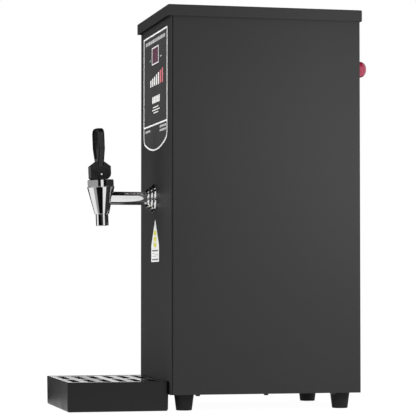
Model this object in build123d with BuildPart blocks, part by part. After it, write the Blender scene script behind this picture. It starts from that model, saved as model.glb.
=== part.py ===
from build123d import *
from math import acos, cos, degrees, radians, sin
import os

# Counter-top hot water urn: a tall folded-sheet casing on four rubber feet, with a
# lift-off lid, an insulated boiler inside, a lever tap on the front face and a loose
# drip tray that stands in front of it.
#
# Frame: +Z up, -Y towards the user, origin on the supporting surface, under the middle
# of the whole outfit, urn and tray together. All lengths are in millimetres.

# ---------------------------------------------------------------- driving dimensions
# Casing
casing_w = 239.0        # outside the side panels, along X
casing_d = 305.2        # front face to rear face, along Y
casing_h = 601.2        # underside of the casing to the top of the lid
floor_gap = 25.0        # supporting surface to the underside of the casing
sheet_t = 1.2           # steel sheet of the whole casing
seam = 0.3              # gap left between neighbouring sheets
bend_r = 2.6            # outside radius of the rear panel's folded edges
hem_r = 1.4             # outside radius of the front panel's hemmed edges
hem_land = 0.2          # flat behind that rounding
hem_gap = 1.6           # open groove from the hem to a side panel
return_w = 12.0         # folded returns of the casing panels
edge_r = 0.4            # broken edges of the side panels
lid_overhang = 4.0      # lid beyond the casing, all round
lid_forward = 1.9       # lid pushed forwards on its clearance
lid_rim_h = 17.6
lid_edge_r = 2.2
base_rim_h = 15.0       # upturned edge of the base plate

# Loose fits
slip = 0.2              # radial gap of a part that is dropped through a hole
running_fit = 0.05      # radial gap of a rod that slides or turns in its hole
rest_gap = 0.3          # gap under a part that can be lifted away
pipe_hole_gap = 1.0     # radial gap of a sheet's hole round a pipe

# Feet
foot_top_r = 15.6
foot_bottom_r = 12.2
foot_edge_r = 1.2
foot_inset_x = 27.7     # foot axis to the side face
foot_inset_front = 26.7
foot_inset_rear = 27.0
foot_stud_r = 3.0
foot_stud_depth = 13.0  # stud moulded into the rubber
foot_stud_free = 9.0    # stud above the base plate
foot_nut_w = 10.0       # across flats
foot_nut_t = 5.0

# Casing screws, up through the side panels' bottom returns into the base plate
screw_r = 2.0
screw_head_r = 4.0
screw_head_t = 2.4
screw_head_taper = 20.0     # degrees
screw_free = 4.0
screw_edge = 7.0        # screw axis to the side face
screw_end = 44.0        # outer screws to the front and rear faces

# Control panel on the front face; each drop is measured down from the top of the lid
overlay_side_gap = 25.2     # film to the side faces
overlay_t = 0.4
overlay_drop = 29.6
overlay_side_drop = 202.5   # straight sides end here
overlay_low_drop = 218.8    # lowest point of the curved bottom edge
overlay_corner_r = 14.0
window_w = 50.0
window_h = 25.0
window_drop = 65.5
window_lip = 4.0
window_lip_t = 1.0
led_r = 1.5
led_x = 39.0
led_drop = 71.0

# Care label; each drop is measured down from the tap's shank
label_w = 60.0
label_t = 0.3
label_tip_drop = 33.0
label_shoulder_drop = 75.0
label_low_drop = 101.0

# Display electronics behind the control panel
display_gap = 13.0      # front face to the display board
board_t = 1.6
display_board_w = 150.0
display_board_h = 62.0
display_board_drop = 72.0
display_w = 43.0
display_h = 19.0
standoff_r = 3.0
standoff_inset = 6.0

# Boiler tank
tank_r = 95.0
tank_wall = 1.5
tank_z = 75.0           # underside of the tank
tank_headroom = 45.0    # rim of the tank to the electronics shelf
tank_edge_r = 8.0
tank_flange_w = 11.0    # flange beyond the tank wall
tank_flange_t = 2.0
tank_lid_t = 1.5
tank_seal_t = 1.0
tank_seal_w = 5.0
tank_screw_inset = 4.5  # screw axes to the flange's edge
tank_screw_count = 8
tank_screw_r = 2.0
tank_screw_head_r = 3.6
tank_screw_head_t = 2.6
insulation_t = 11.5
insulation_gap = 0.4
bracket_w = 20.0
bracket_t = 2.0
bracket_reach = 22.0
bracket_inset = 11.0    # bracket legs to the tank wall

# Pipes of the boiler
spigot_r = 8.0
spigot_wall = 1.2
spigot_inside = 3.0     # inlet spigot beyond the tank's inner face
hose_wall = 2.5
clamp_w = 6.0
clamp_t = 1.4
pipe_bend_r = 16.0
overflow_stub_l = 5.0       # welded stub the overflow pipe is joined to
overflow_below_rim = 20.0   # where it leaves the tank
overflow_outlet_z = 80.0    # where it leaves the casing
overflow_reach = 25.0
drain_inset = 51.0          # drain axis to the tank wall
drain_z = 50.0
drain_reach = 15.0
drain_cap_r = 12.0
drain_cap_l = 16.0
drain_cap_wall = 3.0

# Water inlet valve
inlet_edge = 59.5       # inlet axis to the far side face
inlet_z = 100.0
inlet_thread_r = 13.1
inlet_reach = 28.0      # thread beyond the rear face: the rearmost point of the urn
inlet_flange_r = 16.5
inlet_flange_t = 3.0
valve_size = 28.0
valve_depth = 34.0
valve_tail = 11.0
hose_overlap = 5.0      # hose pushed over the inlet spigot
coil_r = 15.0
coil_h = 30.0
plunger_r = 5.0
plunger_h = 24.0
plunger_travel = 3.0
guide_wall = 1.2

# Heating elements, probes and cut-out
element_r = 4.2
element_span = 60.0
element_pair = 44.0
element_top = 170.0
element_tail = 13.0
element_bend_r = 20.0
element_nut_w = 17.0
element_nut_t = 8.0
probe_r = 2.0
probe_circle_r = 55.0
probe_depths = (295.0, 125.0, 30.0)     # tips below the tank's rim
probe_free = 12.0
bushing_r = 6.0
bushing_h = 9.0
bushing_neck_r = 4.0
thermometer_r = 3.0
thermometer_z = 200.0
thermometer_reach = 45.0
thermometer_nut_w = 14.0
thermometer_nut_t = 9.0
thermometer_nut_gap = 2.0
cutout_r = 9.0
cutout_h = 11.0
cutout_x = 34.0
cutout_forward = 60.0
cutout_tab_t = 2.0
cutout_tab_w = 4.5
cutout_tab_pitch = 9.0

# Electronics shelf above the tank
shelf_drop = 155.0      # below the top of the lid
shelf_front_gap = 45.0
shelf_rear_gap = 40.0
control_board_w = 120.0
control_board_d = 90.0
control_board_edge = 18.0   # board to the shelf's near end
board_lift = 9.0
transformer_w = 32.0
transformer_d = 28.0
transformer_h = 24.0
relay_w = 20.0
relay_d = 16.0
relay_h = 15.0
relay_pitch = 34.0
capacitor_r = 6.0
capacitor_h = 18.0
capacitor_pitch = 30.0
contactor_w = 45.0
contactor_d = 76.0
contactor_h = 48.0
contactor_base_h = 28.8
contactor_top_d = 45.6
contactor_edge = 23.5       # contactor to the shelf's far end
terminal_w = 66.0
terminal_d = 22.0
terminal_h = 20.0
terminal_base_h = 12.0
terminal_top_d = 13.2
terminal_slit = 3.0
terminal_edge = 25.0        # terminals to the shelf's far end
terminal_rear_gap = 62.0
terminal_ways = 5

# Cable gland and vents in the rear panel
gland_edge = 75.0       # gland axis to the near side face
gland_z = 120.0
gland_bore_r = 4.5
gland_thread_r = 8.0
gland_hex_w = 22.0
gland_hex_t = 6.0
gland_dome_r = 10.5
gland_dome_l = 13.0
gland_dome_taper = 12.0     # degrees
gland_inside = 12.0
vent_slot_l = 44.0
vent_slot_w = 4.0
vent_columns = 3
vent_rows = 8
vent_pitch_x = 56.0
vent_pitch_z = 12.0
vent_x = -26.0
vent_drop = 120.0       # middle of the vents below the top of the lid

# Power button on the rear face
button_edge = 26.0      # button axis to the near side face
button_drop = 91.0      # below the top of the lid
button_r = 12.6
button_reach = 16.0
button_skirt = 6.0      # cap inside the casing
button_dome_r = 9.0     # rounding of the cap's end
button_travel = 3.0
button_fit = 0.3
bezel_r = 13.9
bezel_t = 1.6
bezel_edge = 0.3
barrel_wall = 0.9
barrel_l = 22.0
button_nut_r = 17.0
button_nut_t = 4.0
switch_w = 18.0
switch_l = 16.0
switch_pin_t = 1.0
switch_pin_w = 4.5
switch_pin_l = 5.4
switch_pin_pitch = 6.0
switch_post_r = 3.0
button_spring_r = 5.0
button_spring_wire = 0.8
button_spring_turns = 6.0
button_wall = 1.6

# Tap
tap_z = 331.0           # axis of the level shank
tap_reach = 87.5        # front face to the tap's own axis
tap_cant = 2.5          # degrees, spout leaning back towards the casing
shank_r = 10.5
shank_thread_l = 14.0   # thread inside the casing
shank_tail_l = 10.0
waterway_r = 6.0
cone_top_r = 21.6
cone_low_r = 11.5
cone_top = 18.0         # heights along the tap's axis, from the shank's axis
cone_low = -25.5
cone_rim_t = 1.4
cone_edge_r = 0.6
nozzle_r = 10.0
nozzle_end = -44.0
nozzle_bore_r = 7.5
seat_height = -14.0
chamber_low_r = 10.5
chamber_top_r = 17.0
bonnet_r = 20.7
bonnet_t = 11.0
bonnet_edge_r = 0.8
bonnet_spigot_t = 3.0
stem_r = 3.5
stem_top = 4.0          # stem above the lever pin
seat_cup_r = 9.2
seat_cup_t = 9.0
seat_cup_rim_t = 3.0
tap_spring_r = 6.6
tap_spring_wire = 1.2
tap_spring_turns = 5.0
escutcheon_r = 23.0
escutcheon_step_r = 18.8
escutcheon_t = 5.0
escutcheon_step_t = 4.5
collar_r = 15.4
collar_t = 5.0
escutcheon_edge = 1.6
tap_seal_t = 2.0
tap_seal_r = 17.0
tap_nut_w = 30.0
tap_nut_t = 8.0

# Lever
pin_height = 8.5        # pin above the lever's flat heel
pin_r = 1.5
pin_proud = 0.3
heel_offset = 12.0      # the heel's arc is centred this far in front of the pin
lever_gap = 0.2
lever_block_w = 13.3
lever_front = 17.7      # faces of the lever's block, from the pin
lever_rear = 16.0
lever_shoulder = 12.5   # heights above the pin
lever_neck = 20.0
lever_top = 73.0
lever_neck_front = 7.0
lever_neck_rear = 5.6
lever_grip_t = 11.0
lever_grip_front = 6.2  # grip's face in front of the pin
lever_grip_w = 33.0
lever_grip_widest = 40.0
lever_heel_r = 10.0
lever_top_r = 10.0
lever_edge_r = 2.4
lever_recess_rim = 4.5
lever_recess_t = 2.4
lever_slot_gap = 0.4
lever_slot_past = 1.0   # slot cut beyond the heel
lever_swing = 30.0      # degrees
lever_turn = 8.0        # degrees, the handle turned to the right about the tap's axis

# Drip tray
tray_w = 215.0
tray_d = 157.7
tray_h = 45.4
tray_gap = 0.3          # tray to the front face
tray_wall = 4.0
tray_floor_t = 3.0
tray_corner_r = 4.0
tray_draft = 1.0        # degrees
tray_foot_r = 3.2
tray_edge_r = 0.6
tray_rim_t = 1.8
tray_ledge = 2.2        # rim above the grille's ledge
grille_t = 1.5
grille_edge_r = 0.5
grille_gap = 0.5
grille_margin_x = 17.2  # slots to the grille's ends
grille_margin_y = 9.7
grille_bar_w = 14.0     # between the slots, along X
grille_slot_w = 12.0
grille_slot_r = 3.0
grille_across = 2
grille_along = 6

# ------------------------------------------------------------------- worked-out places
outfit_d = tray_d + tray_gap + casing_d + inlet_reach
front_y = tray_d + tray_gap - outfit_d / 2
rear_y = front_y + casing_d
middle_y = (front_y + rear_y) / 2
side_x = casing_w / 2
inner_x = side_x - sheet_t
lid_top = floor_gap + casing_h
panel_top = lid_top - sheet_t - rest_gap
panel_h = panel_top - floor_gap
base_z = floor_gap + sheet_t
base_top = base_z + sheet_t
return_x = inner_x - seam
hem_t = hem_r + hem_land
overlay_w = casing_w - 2 * overlay_side_gap
overlay_top = lid_top - overlay_drop
window_z = lid_top - window_drop
led_z = lid_top - led_drop
shelf_z = lid_top - shelf_drop
tank_y = middle_y
tank_top = shelf_z - tank_headroom
tank_flange_r = tank_r + tank_flange_w
tank_screw_circle_r = tank_flange_r - tank_screw_inset
tank_front_y = tank_y - tank_r
tank_rear_y = tank_y + tank_r
overflow_z = tank_top - overflow_below_rim
drain_x = tank_r - drain_inset
inlet_x = -(side_x - inlet_edge)
gland_x = side_x - gland_edge
button_x = side_x - button_edge
button_z = lid_top - button_drop


def facing_front(y):
    """Sketch plane at this depth: sketch x is X, sketch y is Z, its normal is -Y."""
    return Plane.XZ.offset(-y)


def keep(builder, name):
    """Label a finished sub-part and write it to its own file."""
    builder.part.label = name
    export_step(builder.part, f"parts/{name}.step")


os.makedirs("parts", exist_ok=True)

# ------------------------------------------------------------------------------ casing
# Front panel: hemmed edges flush with the side panels, and folded sides that tuck inside.
with BuildPart() as front_panel:
    with BuildSketch(Plane.XY.offset(floor_gap)) as front_section:
        with Locations((0, front_y + hem_t / 2)):
            Rectangle(2 * side_x, hem_t)
        fillet(front_section.vertices().group_by(Axis.Y)[0], hem_r)
        with Locations((0, front_y + (hem_t + return_w) / 2)):
            Rectangle(2 * return_x, return_w - hem_t)
        with Locations((0, front_y + sheet_t + return_w / 2)):
            Rectangle(2 * (return_x - sheet_t), return_w, mode=Mode.SUBTRACT)
    extrude(amount=panel_h)
    with BuildSketch(facing_front(front_y)):
        with Locations((0, window_z)):
            Rectangle(window_w, window_h)
        with Locations((-led_x, led_z), (led_x, led_z)):
            Circle(led_r + slip)
        with Locations((0, tap_z)):
            Circle(shank_r + slip)
    extrude(amount=-sheet_t, mode=Mode.SUBTRACT)
keep(front_panel, "front_panel")

# Side panels: flat sheets with a return folded in at the top and the bottom.
screw_places = [(side_x - screw_edge, y)
                for y in (front_y + screw_end, middle_y, rear_y - screw_end)]
flange_d = casing_d - 2 * (return_w + seam)
side_front_y = front_y + hem_t + hem_gap
side_rear_y = rear_y - bend_r + sheet_t
for side, name in ((-1, "side_panel_left"), (1, "side_panel_right")):
    with BuildPart() as side_panel:
        with BuildSketch(Plane.XY.offset(floor_gap)):
            with Locations((side * (side_x - sheet_t / 2), (side_front_y + side_rear_y) / 2)):
                Rectangle(sheet_t, side_rear_y - side_front_y)
        extrude(amount=panel_h)
        fillet(side_panel.edges().filter_by(Axis.Z), edge_r)
        with BuildSketch(Plane.XY.offset(floor_gap), Plane.XY.offset(panel_top - sheet_t)):
            with Locations((side * (inner_x - (return_w - sheet_t) / 2), middle_y)):
                Rectangle(return_w - sheet_t, flange_d)
        extrude(amount=sheet_t)
        with BuildSketch(Plane.XY.offset(floor_gap)):
            with Locations([(side * x, y) for x, y in screw_places]):
                Circle(screw_r + slip)
        extrude(amount=sheet_t, mode=Mode.SUBTRACT)
    keep(side_panel, name)

# Rear panel: a channel whose sides tuck inside the side panels too. It has vents and the
# holes for the power button, the water inlet, the overflow, the drain and the cable gland.
with BuildPart() as rear_panel:
    with BuildSketch(Plane.XY.offset(floor_gap)) as rear_section:
        with Locations((0, rear_y - return_w / 2)):
            Rectangle(2 * return_x, return_w)
        fillet(rear_section.vertices().group_by(Axis.Y)[-1], bend_r)
        with Locations((0, rear_y - sheet_t - return_w / 2)):
            Rectangle(2 * (return_x - sheet_t), return_w, mode=Mode.SUBTRACT)
    extrude(amount=panel_h)
    with BuildSketch(facing_front(rear_y)):
        with Locations((vent_x, lid_top - vent_drop)):
            with GridLocations(vent_pitch_x, vent_pitch_z, vent_columns, vent_rows):
                SlotOverall(vent_slot_l, vent_slot_w)
        with Locations((button_x, button_z)):
            Circle(button_r + button_fit + barrel_wall + slip)
        with Locations((inlet_x, inlet_z)):
            Circle(inlet_thread_r + pipe_hole_gap)
        with Locations((gland_x, gland_z)):
            Circle(gland_thread_r + slip)
        with Locations((0, overflow_outlet_z), (drain_x, drain_z)):
            Circle(spigot_r + pipe_hole_gap)
    extrude(amount=sheet_t, mode=Mode.SUBTRACT)
keep(rear_panel, "rear_panel")

# Base plate: a shallow pan that lies on the side panels' bottom returns.
foot_places = [(side * (side_x - foot_inset_x), y)
               for side in (-1, 1)
               for y in (front_y + foot_inset_front, rear_y - foot_inset_rear)]
base_half_w = return_x - sheet_t - seam
base_d = casing_d - 2 * (sheet_t + seam)
with BuildPart() as base_plate:
    with BuildSketch(Plane.XY.offset(base_z)):
        with Locations((0, middle_y)):
            Rectangle(2 * base_half_w, base_d)
    extrude(amount=base_rim_h)
    with BuildSketch(Plane.XY.offset(base_top)):
        with Locations((0, middle_y)):
            Rectangle(2 * (base_half_w - sheet_t), base_d - 2 * sheet_t)
    extrude(amount=base_rim_h, mode=Mode.SUBTRACT)
    with BuildSketch(Plane.XY.offset(base_z)):
        with Locations(foot_places):
            Circle(foot_stud_r + slip)
        with Locations([(side * x, y) for side in (-1, 1) for x, y in screw_places]):
            Circle(screw_r + slip)
    extrude(amount=sheet_t, mode=Mode.SUBTRACT)
keep(base_plate, "base_plate")

with BuildPart() as casing_screws:
    with BuildSketch(Plane.XY.offset(floor_gap)):
        with Locations([(side * x, y) for side in (-1, 1) for x, y in screw_places]):
            Circle(screw_head_r)
    extrude(amount=-screw_head_t, taper=screw_head_taper)
    with BuildSketch(Plane.XY.offset(floor_gap)):
        with Locations([(side * x, y) for side in (-1, 1) for x, y in screw_places]):
            Circle(screw_r)
    extrude(amount=base_top - floor_gap + screw_free)
keep(casing_screws, "casing_screws")

# Lid: a folded pan that drops over the casing and rests on the panels' top edges.
with BuildPart() as lid:
    with BuildSketch(Plane.XY.offset(lid_top - lid_rim_h)):
        with Locations((0, middle_y - lid_forward)):
            RectangleRounded(casing_w + 2 * lid_overhang, casing_d + 2 * lid_overhang,
                             lid_edge_r)
    extrude(amount=lid_rim_h)
    fillet(lid.faces().sort_by(Axis.Z)[-1].edges(), lid_edge_r)
    offset(amount=-sheet_t, openings=lid.faces().sort_by(Axis.Z)[0])
keep(lid, "lid")

# -------------------------------------------------------------------------------- feet
with BuildPart() as feet:
    with Locations([(x, y, 0) for x, y in foot_places]):
        Cone(foot_bottom_r, foot_top_r, base_z, align=(Align.CENTER, Align.CENTER, Align.MIN))
    fillet(feet.edges().group_by(Axis.Z)[0], foot_edge_r)
    with Locations([(x, y, base_z) for x, y in foot_places]):
        Cylinder(foot_stud_r, foot_stud_depth, mode=Mode.SUBTRACT,
                 align=(Align.CENTER, Align.CENTER, Align.MAX))
keep(feet, "feet")

# Each foot has a moulded-in stud, held by a nut on the base plate.
with BuildPart() as foot_studs:
    with Locations([(x, y, base_z - foot_stud_depth) for x, y in foot_places]):
        Cylinder(foot_stud_r, foot_stud_depth + sheet_t + foot_stud_free,
                 align=(Align.CENTER, Align.CENTER, Align.MIN))
keep(foot_studs, "foot_studs")

with BuildPart() as foot_nuts:
    with BuildSketch(Plane.XY.offset(base_top)):
        with Locations(foot_places):
            RegularPolygon(foot_nut_w / 2, 6, major_radius=False)
            Circle(foot_stud_r, mode=Mode.SUBTRACT)
    extrude(amount=foot_nut_t)
keep(foot_nuts, "foot_nuts")

# ----------------------------------------------------------------------- control panel
# Printed film on the front face: straight sides, and a bottom edge that is one arc.
overlay_side_end = lid_top - overlay_side_drop
overlay_low = lid_top - overlay_low_drop
with BuildPart() as control_overlay:
    with BuildSketch(facing_front(front_y)) as overlay_outline:
        with BuildLine():
            Polyline((-overlay_w / 2, overlay_side_end), (-overlay_w / 2, overlay_top),
                     (overlay_w / 2, overlay_top), (overlay_w / 2, overlay_side_end))
            ThreePointArc((overlay_w / 2, overlay_side_end), (0, overlay_low),
                          (-overlay_w / 2, overlay_side_end))
        make_face()
        fillet(overlay_outline.vertices().group_by(Axis.Y)[0], overlay_corner_r)
        with Locations((0, window_z)):
            Rectangle(window_w, window_h, mode=Mode.SUBTRACT)
        with Locations((-led_x, led_z), (led_x, led_z)):
            Circle(led_r + slip, mode=Mode.SUBTRACT)
    extrude(amount=overlay_t)
keep(control_overlay, "control_overlay")

with BuildPart() as display_window:
    with BuildSketch(facing_front(front_y - overlay_t)):
        with Locations((0, window_z)):
            Rectangle(window_w - 2 * slip, window_h - 2 * slip)
    extrude(amount=-(overlay_t + sheet_t))
    with BuildSketch(facing_front(front_y + sheet_t)):
        with Locations((0, window_z)):
            Rectangle(window_w + 2 * window_lip, window_h + 2 * window_lip)
    extrude(amount=-window_lip_t)
keep(display_window, "display_window")

# Care label: a pointed drop above a plain field.
label_tip = tap_z - label_tip_drop
label_shoulder = tap_z - label_shoulder_drop
label_low = tap_z - label_low_drop
with BuildPart() as care_label:
    with BuildSketch(facing_front(front_y)):
        with BuildLine():
            Polyline((-label_w / 2, label_shoulder), (-label_w / 2, label_low),
                     (label_w / 2, label_low), (label_w / 2, label_shoulder))
            Line((label_w / 2, label_shoulder), (0, label_tip))
            Line((0, label_tip), (-label_w / 2, label_shoulder))
        make_face()
    extrude(amount=label_t)
keep(care_label, "care_label")

display_y = front_y + display_gap
display_board_z = lid_top - display_board_drop
display_standoff_places = [
    (side * (display_board_w / 2 - standoff_inset),
     display_board_z + end * (display_board_h / 2 - standoff_inset))
    for side in (-1, 1) for end in (-1, 1)]
with BuildPart() as display_board:
    with BuildSketch(facing_front(display_y)):
        with Locations((0, display_board_z)):
            Rectangle(display_board_w, display_board_h)
    extrude(amount=-board_t)
keep(display_board, "display_board")

with BuildPart() as display_module:
    with BuildSketch(facing_front(display_y)):
        with Locations((0, window_z)):
            Rectangle(display_w, display_h)
    extrude(amount=display_gap - sheet_t - window_lip_t - rest_gap)
keep(display_module, "display_module")

with BuildPart() as indicator_leds:
    with BuildSketch(facing_front(display_y)):
        with Locations((-led_x, led_z), (led_x, led_z)):
            Circle(led_r)
    extrude(amount=display_gap + overlay_t)
keep(indicator_leds, "indicator_leds")

# -------------------------------------------------------------------------- boiler tank
# Deep-drawn tank, open at the top, with a bolting flange and its welded spigots.
tap_spigot_l = tank_front_y - front_y - shank_thread_l - shank_tail_l - seam
inlet_wall_y = (tank_y - spigot_inside
                + ((tank_r - tank_wall) ** 2 - (abs(inlet_x) + spigot_r) ** 2) ** 0.5)
valve_rear_y = rear_y - sheet_t - inlet_flange_t
valve_front_y = valve_rear_y - valve_depth
inlet_spigot_y = valve_front_y - valve_tail - hose_overlap
overflow_spigot_y = tank_rear_y + overflow_stub_l
drain_spigot_z = tank_z - tank_edge_r
element_places = [(x, tank_y + y)
                  for y in (-element_pair / 2, element_pair / 2)
                  for x in (-element_span / 2, element_span / 2)]
tank_axis = Axis((0, tank_y, 0), (0, 0, 1))
mid_wall_r = tank_r - tank_wall / 2
with BuildPart() as tank:
    with BuildSketch(facing_front(tank_y)) as tank_section:
        with BuildLine():
            Polyline((0, tank_z), (tank_r, tank_z), (tank_r, tank_top - tank_flange_t),
                     (tank_flange_r, tank_top - tank_flange_t), (tank_flange_r, tank_top),
                     (tank_r - tank_wall, tank_top), (tank_r - tank_wall, tank_z + tank_wall),
                     (0, tank_z + tank_wall), close=True)
        make_face()
        fillet(tank_section.vertices().sort_by_distance((tank_r, tank_z))[0], tank_edge_r)
        fillet(tank_section.vertices().sort_by_distance(
            (tank_r - tank_wall, tank_z + tank_wall))[0], tank_edge_r - tank_wall)
    revolve(axis=tank_axis)
    with BuildSketch(facing_front(tank_y - mid_wall_r)):
        with Locations((0, tap_z)):
            Circle(spigot_r)
    extrude(amount=tank_r - mid_wall_r + tap_spigot_l)
    with BuildSketch(facing_front(inlet_wall_y)):
        with Locations((inlet_x, inlet_z)):
            Circle(spigot_r)
    extrude(amount=-(inlet_spigot_y - inlet_wall_y))
    with BuildSketch(facing_front(tank_y + mid_wall_r)):
        with Locations((0, overflow_z)):
            Circle(spigot_r)
    extrude(amount=-(overflow_spigot_y - tank_y - mid_wall_r))
    with BuildSketch(Plane.XY.offset(tank_z + tank_wall / 2)):
        with Locations((drain_x, tank_y)):
            Circle(spigot_r)
    extrude(amount=-(tank_wall / 2 + tank_z - drain_spigot_z))
    with BuildSketch(facing_front(tank_y)):
        with Locations((0, tap_z)):
            Circle(spigot_r - spigot_wall)
        with Locations((0, thermometer_z)):
            Circle(thermometer_r + slip)
    extrude(amount=casing_d, mode=Mode.SUBTRACT)
    with BuildSketch(facing_front(tank_y)):
        with Locations((inlet_x, inlet_z), (0, overflow_z)):
            Circle(spigot_r - spigot_wall)
    extrude(amount=-casing_d, mode=Mode.SUBTRACT)
    with BuildSketch(Plane.XY.offset(tank_z + 2 * tank_wall)):
        with Locations((drain_x, tank_y)):
            Circle(spigot_r - spigot_wall)
        with Locations(element_places):
            Circle(element_r + slip)
    extrude(amount=-tank_z, mode=Mode.SUBTRACT)
    with BuildSketch(Plane.XY.offset(tank_top)):
        with Locations((0, tank_y)):
            with PolarLocations(tank_screw_circle_r, tank_screw_count):
                Circle(tank_screw_r + slip)
    extrude(amount=-tank_flange_t, mode=Mode.SUBTRACT)
keep(tank, "tank")

with BuildPart() as tank_insulation:
    with Locations((0, tank_y, tank_z)):
        Cylinder(tank_r + insulation_t, tank_top - tank_z - tank_flange_t - insulation_gap,
                 align=(Align.CENTER, Align.CENTER, Align.MIN))
        Cylinder(tank_r + insulation_gap, tank_top - tank_z, mode=Mode.SUBTRACT,
                 align=(Align.CENTER, Align.CENTER, Align.MIN))
    with BuildSketch(facing_front(tank_y)):
        with Locations((0, tap_z)):
            Circle(spigot_r + insulation_gap)
        with Locations((0, thermometer_z)):
            Circle(thermometer_nut_w / 2 + thermometer_nut_gap)
    extrude(amount=casing_d, mode=Mode.SUBTRACT)
    with BuildSketch(facing_front(tank_y)):
        with Locations((inlet_x, inlet_z)):
            Circle(spigot_r + hose_wall + insulation_gap)
        with Locations((0, overflow_z)):
            Circle(spigot_r + insulation_gap)
    extrude(amount=-casing_d, mode=Mode.SUBTRACT)
keep(tank_insulation, "tank_insulation")

with BuildPart() as tank_seal:
    with BuildSketch(Plane.XY.offset(tank_top)):
        with Locations((0, tank_y)):
            Circle(tank_r - tank_wall + tank_seal_w)
            Circle(tank_r - tank_wall, mode=Mode.SUBTRACT)
    extrude(amount=tank_seal_t)
keep(tank_seal, "tank_seal")

tank_lid_z = tank_top + tank_seal_t
tank_lid_top = tank_lid_z + tank_lid_t
with BuildPart() as tank_lid:
    with BuildSketch(Plane.XY.offset(tank_lid_z)):
        with Locations((0, tank_y)):
            Circle(tank_flange_r)
            with PolarLocations(tank_screw_circle_r, tank_screw_count):
                Circle(tank_screw_r + slip, mode=Mode.SUBTRACT)
            with PolarLocations(probe_circle_r, len(probe_depths)):
                Circle(bushing_neck_r + slip, mode=Mode.SUBTRACT)
    extrude(amount=tank_lid_t)
keep(tank_lid, "tank_lid")

with BuildPart() as tank_screws:
    with Locations((0, tank_y, tank_lid_top)):
        with PolarLocations(tank_screw_circle_r, tank_screw_count):
            Cylinder(tank_screw_head_r, tank_screw_head_t,
                     align=(Align.CENTER, Align.CENTER, Align.MIN))
            Cylinder(tank_screw_r, tank_lid_t + tank_seal_t + tank_flange_t,
                     align=(Align.CENTER, Align.CENTER, Align.MAX))
keep(tank_screws, "tank_screws")

# Four folded brackets carry the tank on the base plate.
bracket_circle_r = tank_r - bracket_inset
with BuildPart() as tank_brackets:
    with Locations((0, tank_y, base_top)):
        with PolarLocations(bracket_circle_r, 4):
            Box(bracket_t, bracket_w, tank_z - base_top,
                align=(Align.CENTER, Align.CENTER, Align.MIN))
            Box(bracket_reach, bracket_w, bracket_t,
                align=(Align.MAX, Align.CENTER, Align.MIN))
    with Locations((0, tank_y, tank_z)):
        with PolarLocations(bracket_circle_r, 4):
            Box(bracket_reach, bracket_w, bracket_t,
                align=(Align.MAX, Align.CENTER, Align.MAX))
keep(tank_brackets, "tank_brackets")

# Silicone hoses: tank to the back of the tap, and inlet valve to tank. Two worm-drive
# clamps hold the first.
hose_start_y = front_y + shank_thread_l + seam
hose_end_y = tank_front_y - insulation_t - seam
with BuildPart() as silicone_hoses:
    with BuildSketch(facing_front(hose_start_y)):
        with Locations((0, tap_z)):
            Circle(spigot_r + hose_wall)
            Circle(spigot_r, mode=Mode.SUBTRACT)
    extrude(amount=-(hose_end_y - hose_start_y))
    with BuildSketch(facing_front(inlet_spigot_y - hose_overlap)):
        with Locations((inlet_x, inlet_z)):
            Circle(spigot_r + hose_wall)
            Circle(spigot_r, mode=Mode.SUBTRACT)
    extrude(amount=-(valve_front_y - inlet_spigot_y + hose_overlap - seam))
keep(silicone_hoses, "silicone_hoses")

with BuildPart() as hose_clamps:
    with BuildSketch(facing_front(hose_start_y + clamp_t),
                     facing_front(hose_end_y - clamp_w - clamp_t)):
        with Locations((0, tap_z)):
            Circle(spigot_r + hose_wall + clamp_t)
            with Locations((0, spigot_r + hose_wall + clamp_t)):
                Rectangle(clamp_w, clamp_w)
            Circle(spigot_r + hose_wall, mode=Mode.SUBTRACT)
    extrude(amount=-clamp_w)
keep(hose_clamps, "hose_clamps")

# Overflow and vent: out of the tank near its rim, down midway between the insulation
# and the rear face, out at the back.
overflow_drop_y = (tank_rear_y + insulation_t + rear_y) / 2
with BuildPart() as overflow_pipe:
    with BuildLine() as overflow_route:
        FilletPolyline((0, overflow_spigot_y, overflow_z),
                       (0, overflow_drop_y, overflow_z),
                       (0, overflow_drop_y, overflow_outlet_z),
                       (0, rear_y + overflow_reach, overflow_outlet_z), radius=pipe_bend_r)
    with BuildSketch(facing_front(overflow_spigot_y)):
        with Locations((0, overflow_z)):
            Circle(spigot_r)
            Circle(spigot_r - spigot_wall, mode=Mode.SUBTRACT)
    sweep(path=overflow_route.line)
keep(overflow_pipe, "overflow_pipe")

with BuildPart() as drain_pipe:
    with BuildLine() as drain_route:
        FilletPolyline((drain_x, tank_y, drain_spigot_z), (drain_x, tank_y, drain_z),
                       (drain_x, rear_y + drain_reach, drain_z), radius=pipe_bend_r)
    with BuildSketch(Plane.XY.offset(drain_spigot_z)):
        with Locations((drain_x, tank_y)):
            Circle(spigot_r)
            Circle(spigot_r - spigot_wall, mode=Mode.SUBTRACT)
    sweep(path=drain_route.line)
keep(drain_pipe, "drain_pipe")

# Screwed cap on the drain's end, an eight-sided grip with a blind socket.
drain_cap_y = rear_y + drain_reach + drain_cap_wall + rest_gap
with BuildPart() as drain_cap:
    with BuildSketch(facing_front(drain_cap_y)):
        with Locations((drain_x, drain_z)):
            RegularPolygon(drain_cap_r, 8)
    extrude(amount=drain_cap_l)
    with BuildSketch(facing_front(drain_cap_y - drain_cap_wall)):
        with Locations((drain_x, drain_z)):
            Circle(spigot_r + rest_gap)
    extrude(amount=drain_cap_l, mode=Mode.SUBTRACT)
keep(drain_cap, "drain_cap")

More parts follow.
